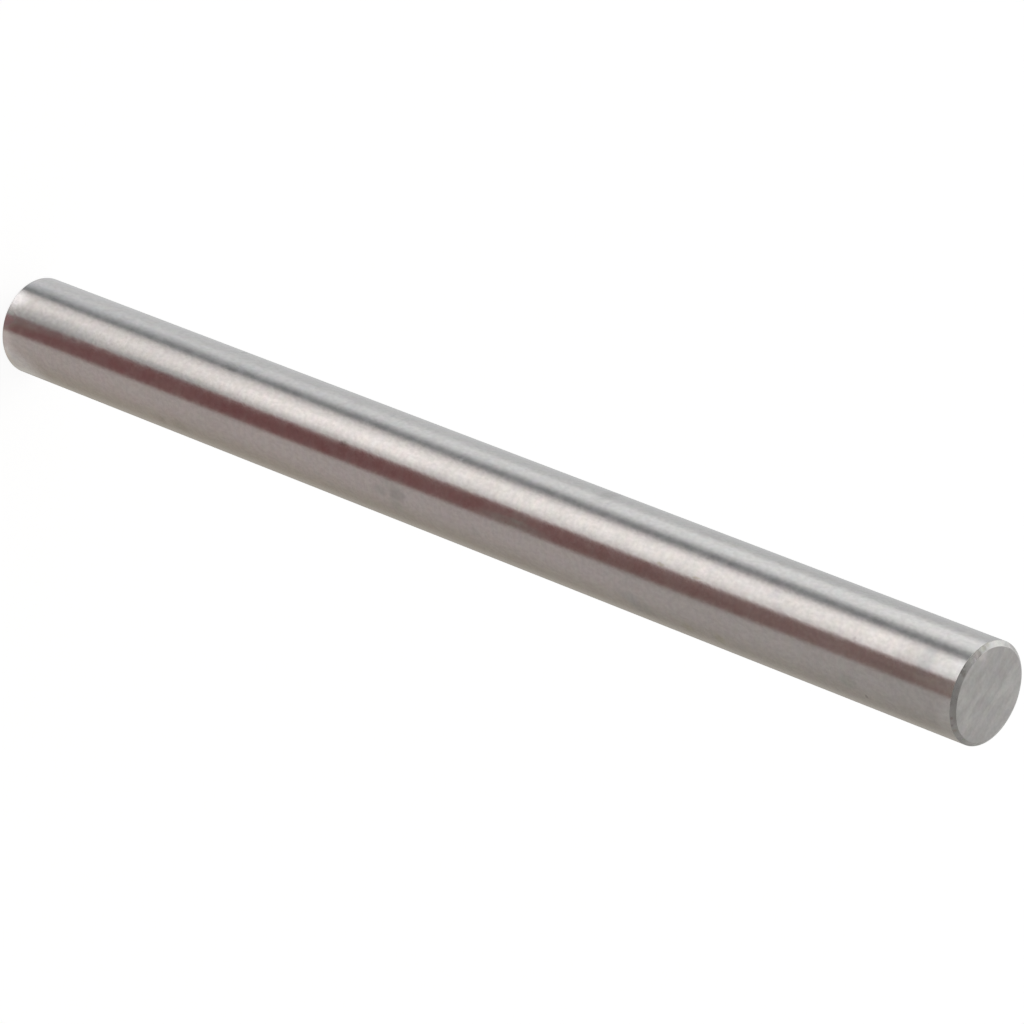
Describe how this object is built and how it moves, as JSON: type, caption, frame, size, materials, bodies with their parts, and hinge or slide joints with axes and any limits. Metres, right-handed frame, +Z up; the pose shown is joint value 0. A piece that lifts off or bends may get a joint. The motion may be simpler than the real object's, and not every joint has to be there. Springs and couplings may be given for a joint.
{
  "type": "pin gauge",
  "caption": "Plain cylindrical pin gauge in ground and lapped steel, with a small flat bevel round each end.",
  "frame": {"origin": "middle of the base end's face, on the surface the pin stands on", "axes": "+Z up the pin's axis, from the base end to the top end; the pin is the same all round, so X and Y are free"},
  "size_m": [0.004, 0.004, 0.0508],
  "materials": {
    "ground_steel": "ground and lapped, with fine marks round the axis"
  },
  "bodies": {
    "root": {"gauge_pin": "ground_steel"}
  },
  "joints": []
}
